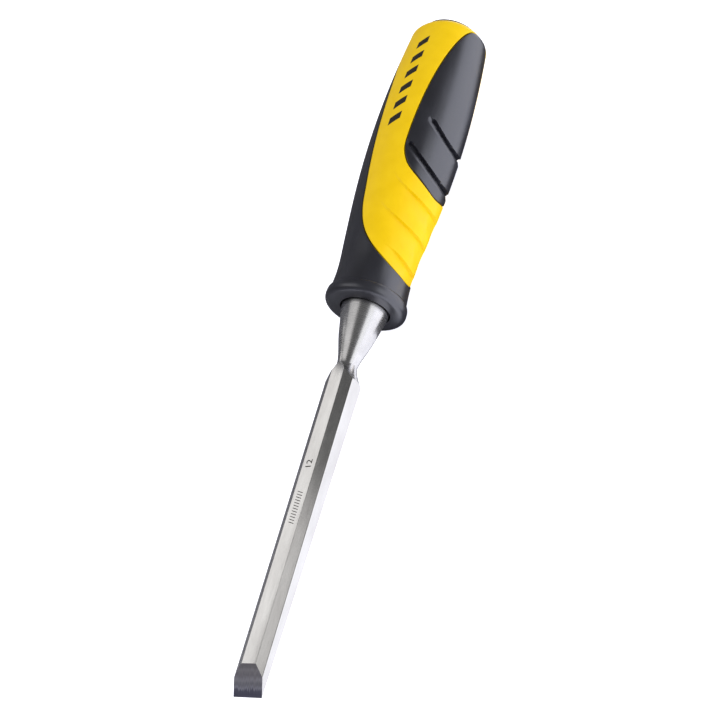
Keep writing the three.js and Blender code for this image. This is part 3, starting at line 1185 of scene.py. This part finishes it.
def make_world():
    """White to the camera, soft fill for matt surfaces, and dark in reflections between the panels."""
    world = bpy.data.worlds.new("studio")
    world.use_nodes = True
    nodes, links = world.node_tree.nodes, world.node_tree.links
    rays = nodes.new("ShaderNodeLightPath")
    fill = nodes["Background"]
    fill.inputs["Color"].default_value = (1, 1, 1, 1)
    fill.inputs["Strength"].default_value = FILL
    previous = fill
    for ray, strength in (("Is Glossy Ray", DARK_SKY), ("Is Camera Ray", 1.0)):
        seen = nodes.new("ShaderNodeBackground")
        seen.inputs["Color"].default_value = (1, 1, 1, 1)
        seen.inputs["Strength"].default_value = strength
        mixed = nodes.new("ShaderNodeMixShader")
        links.new(rays.outputs[ray], mixed.inputs[0])
        links.new(previous.outputs[0], mixed.inputs[1])
        links.new(seen.outputs[0], mixed.inputs[2])
        previous = mixed
    links.new(previous.outputs[0], nodes["World Output"].inputs["Surface"])
    bpy.context.scene.world = world


def make_stage():
    """The floor, the light and the cards."""
    bpy.ops.mesh.primitive_plane_add(size=8)
    floor = bpy.context.object
    floor.name = "floor"
    floor.data.materials.append(pale_floor())
    make_world()
    area_light("overhead_panel", (-0.158, 0.19, 0.85), (0.75, 0.76), 0.76, WARM_WHITE, (-0.15, 0.19, 0))
    area_light("far_panel", (1.3, 3, 2.7), (1.7, 1.05), 1.15, WARM_WHITE, TOOL_MIDDLE)
    area_light("key_panel", (0.05, -0.9, 0.22), (1.15, 0.4), 1.35, COOL_WHITE, TOOL_MIDDLE)
    grey = grey_card()
    # Cards that only reflections see: painted dark reflections behind the tool, painted shade on the floor.
    back_flag("blade_back_flag", -200, 12, 38, grey)
    back_flag("handle_back_flag", 12, 260, 90, grey)
    painted_floor_shade("shade_under_handle", (4, -17), (140, 44), grey)
    painted_floor_shade("shade_under_collar", (-30, -0.5), (4, 44), grey)
    bpy.context.scene.view_settings.view_transform = "Standard"


def dress(piece, node, slot, *materials):
    """Gives a piece its materials, and the place of a CAD node."""
    piece.data.materials.clear()
    for material in materials:
        piece.data.materials.append(material)
    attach(piece, "root")
    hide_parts(node)


def choose_blade_finishes(blade):
    """Material 0 on the ground flats, 1 on the turned neck and bolster, 2 on the ground bevel."""
    turned_x, turned_radius = np.array(forging_profile()[1:]).T
    for face in blade.data.polygons:
        x, y, z = (face.center - TOOL_ORIGIN) / MM
        is_bevel = x < BEVEL_LENGTH and face.normal.x < -0.3 and face.normal.z > 0.5
        radius = math.hypot(y, z - AXIS_HEIGHT)
        is_turned = abs(radius - np.interp(x, turned_x, turned_radius)) < 0.1
        face.material_index = 2 if is_bevel else int(is_turned)


rubber = soft_rubber()
ink = printed_ink()
blade = make_blade()
dress(blade, "blade", "blade_steel", ground_steel(), turned_steel(), painted_reflection_bevel(), ink)
choose_blade_finishes(blade)
for text, x in BLADE_MARKS:
    print_on(blade, make_blade_mark(text, x), 3)
shell = make_shell()
dress(shell, "handle_shell", "shell_plastic", yellow_plastic(), ink)
print_on(shell, make_bars(), 1)
dress(make_core(), "core", "core_plastic", hard_black())
dress(make_front_grip(), "front_grip", "soft_grip", rubber)
dress(make_side_panel(), "side_panel", "soft_grip", rubber)
make_camera()
make_stage()
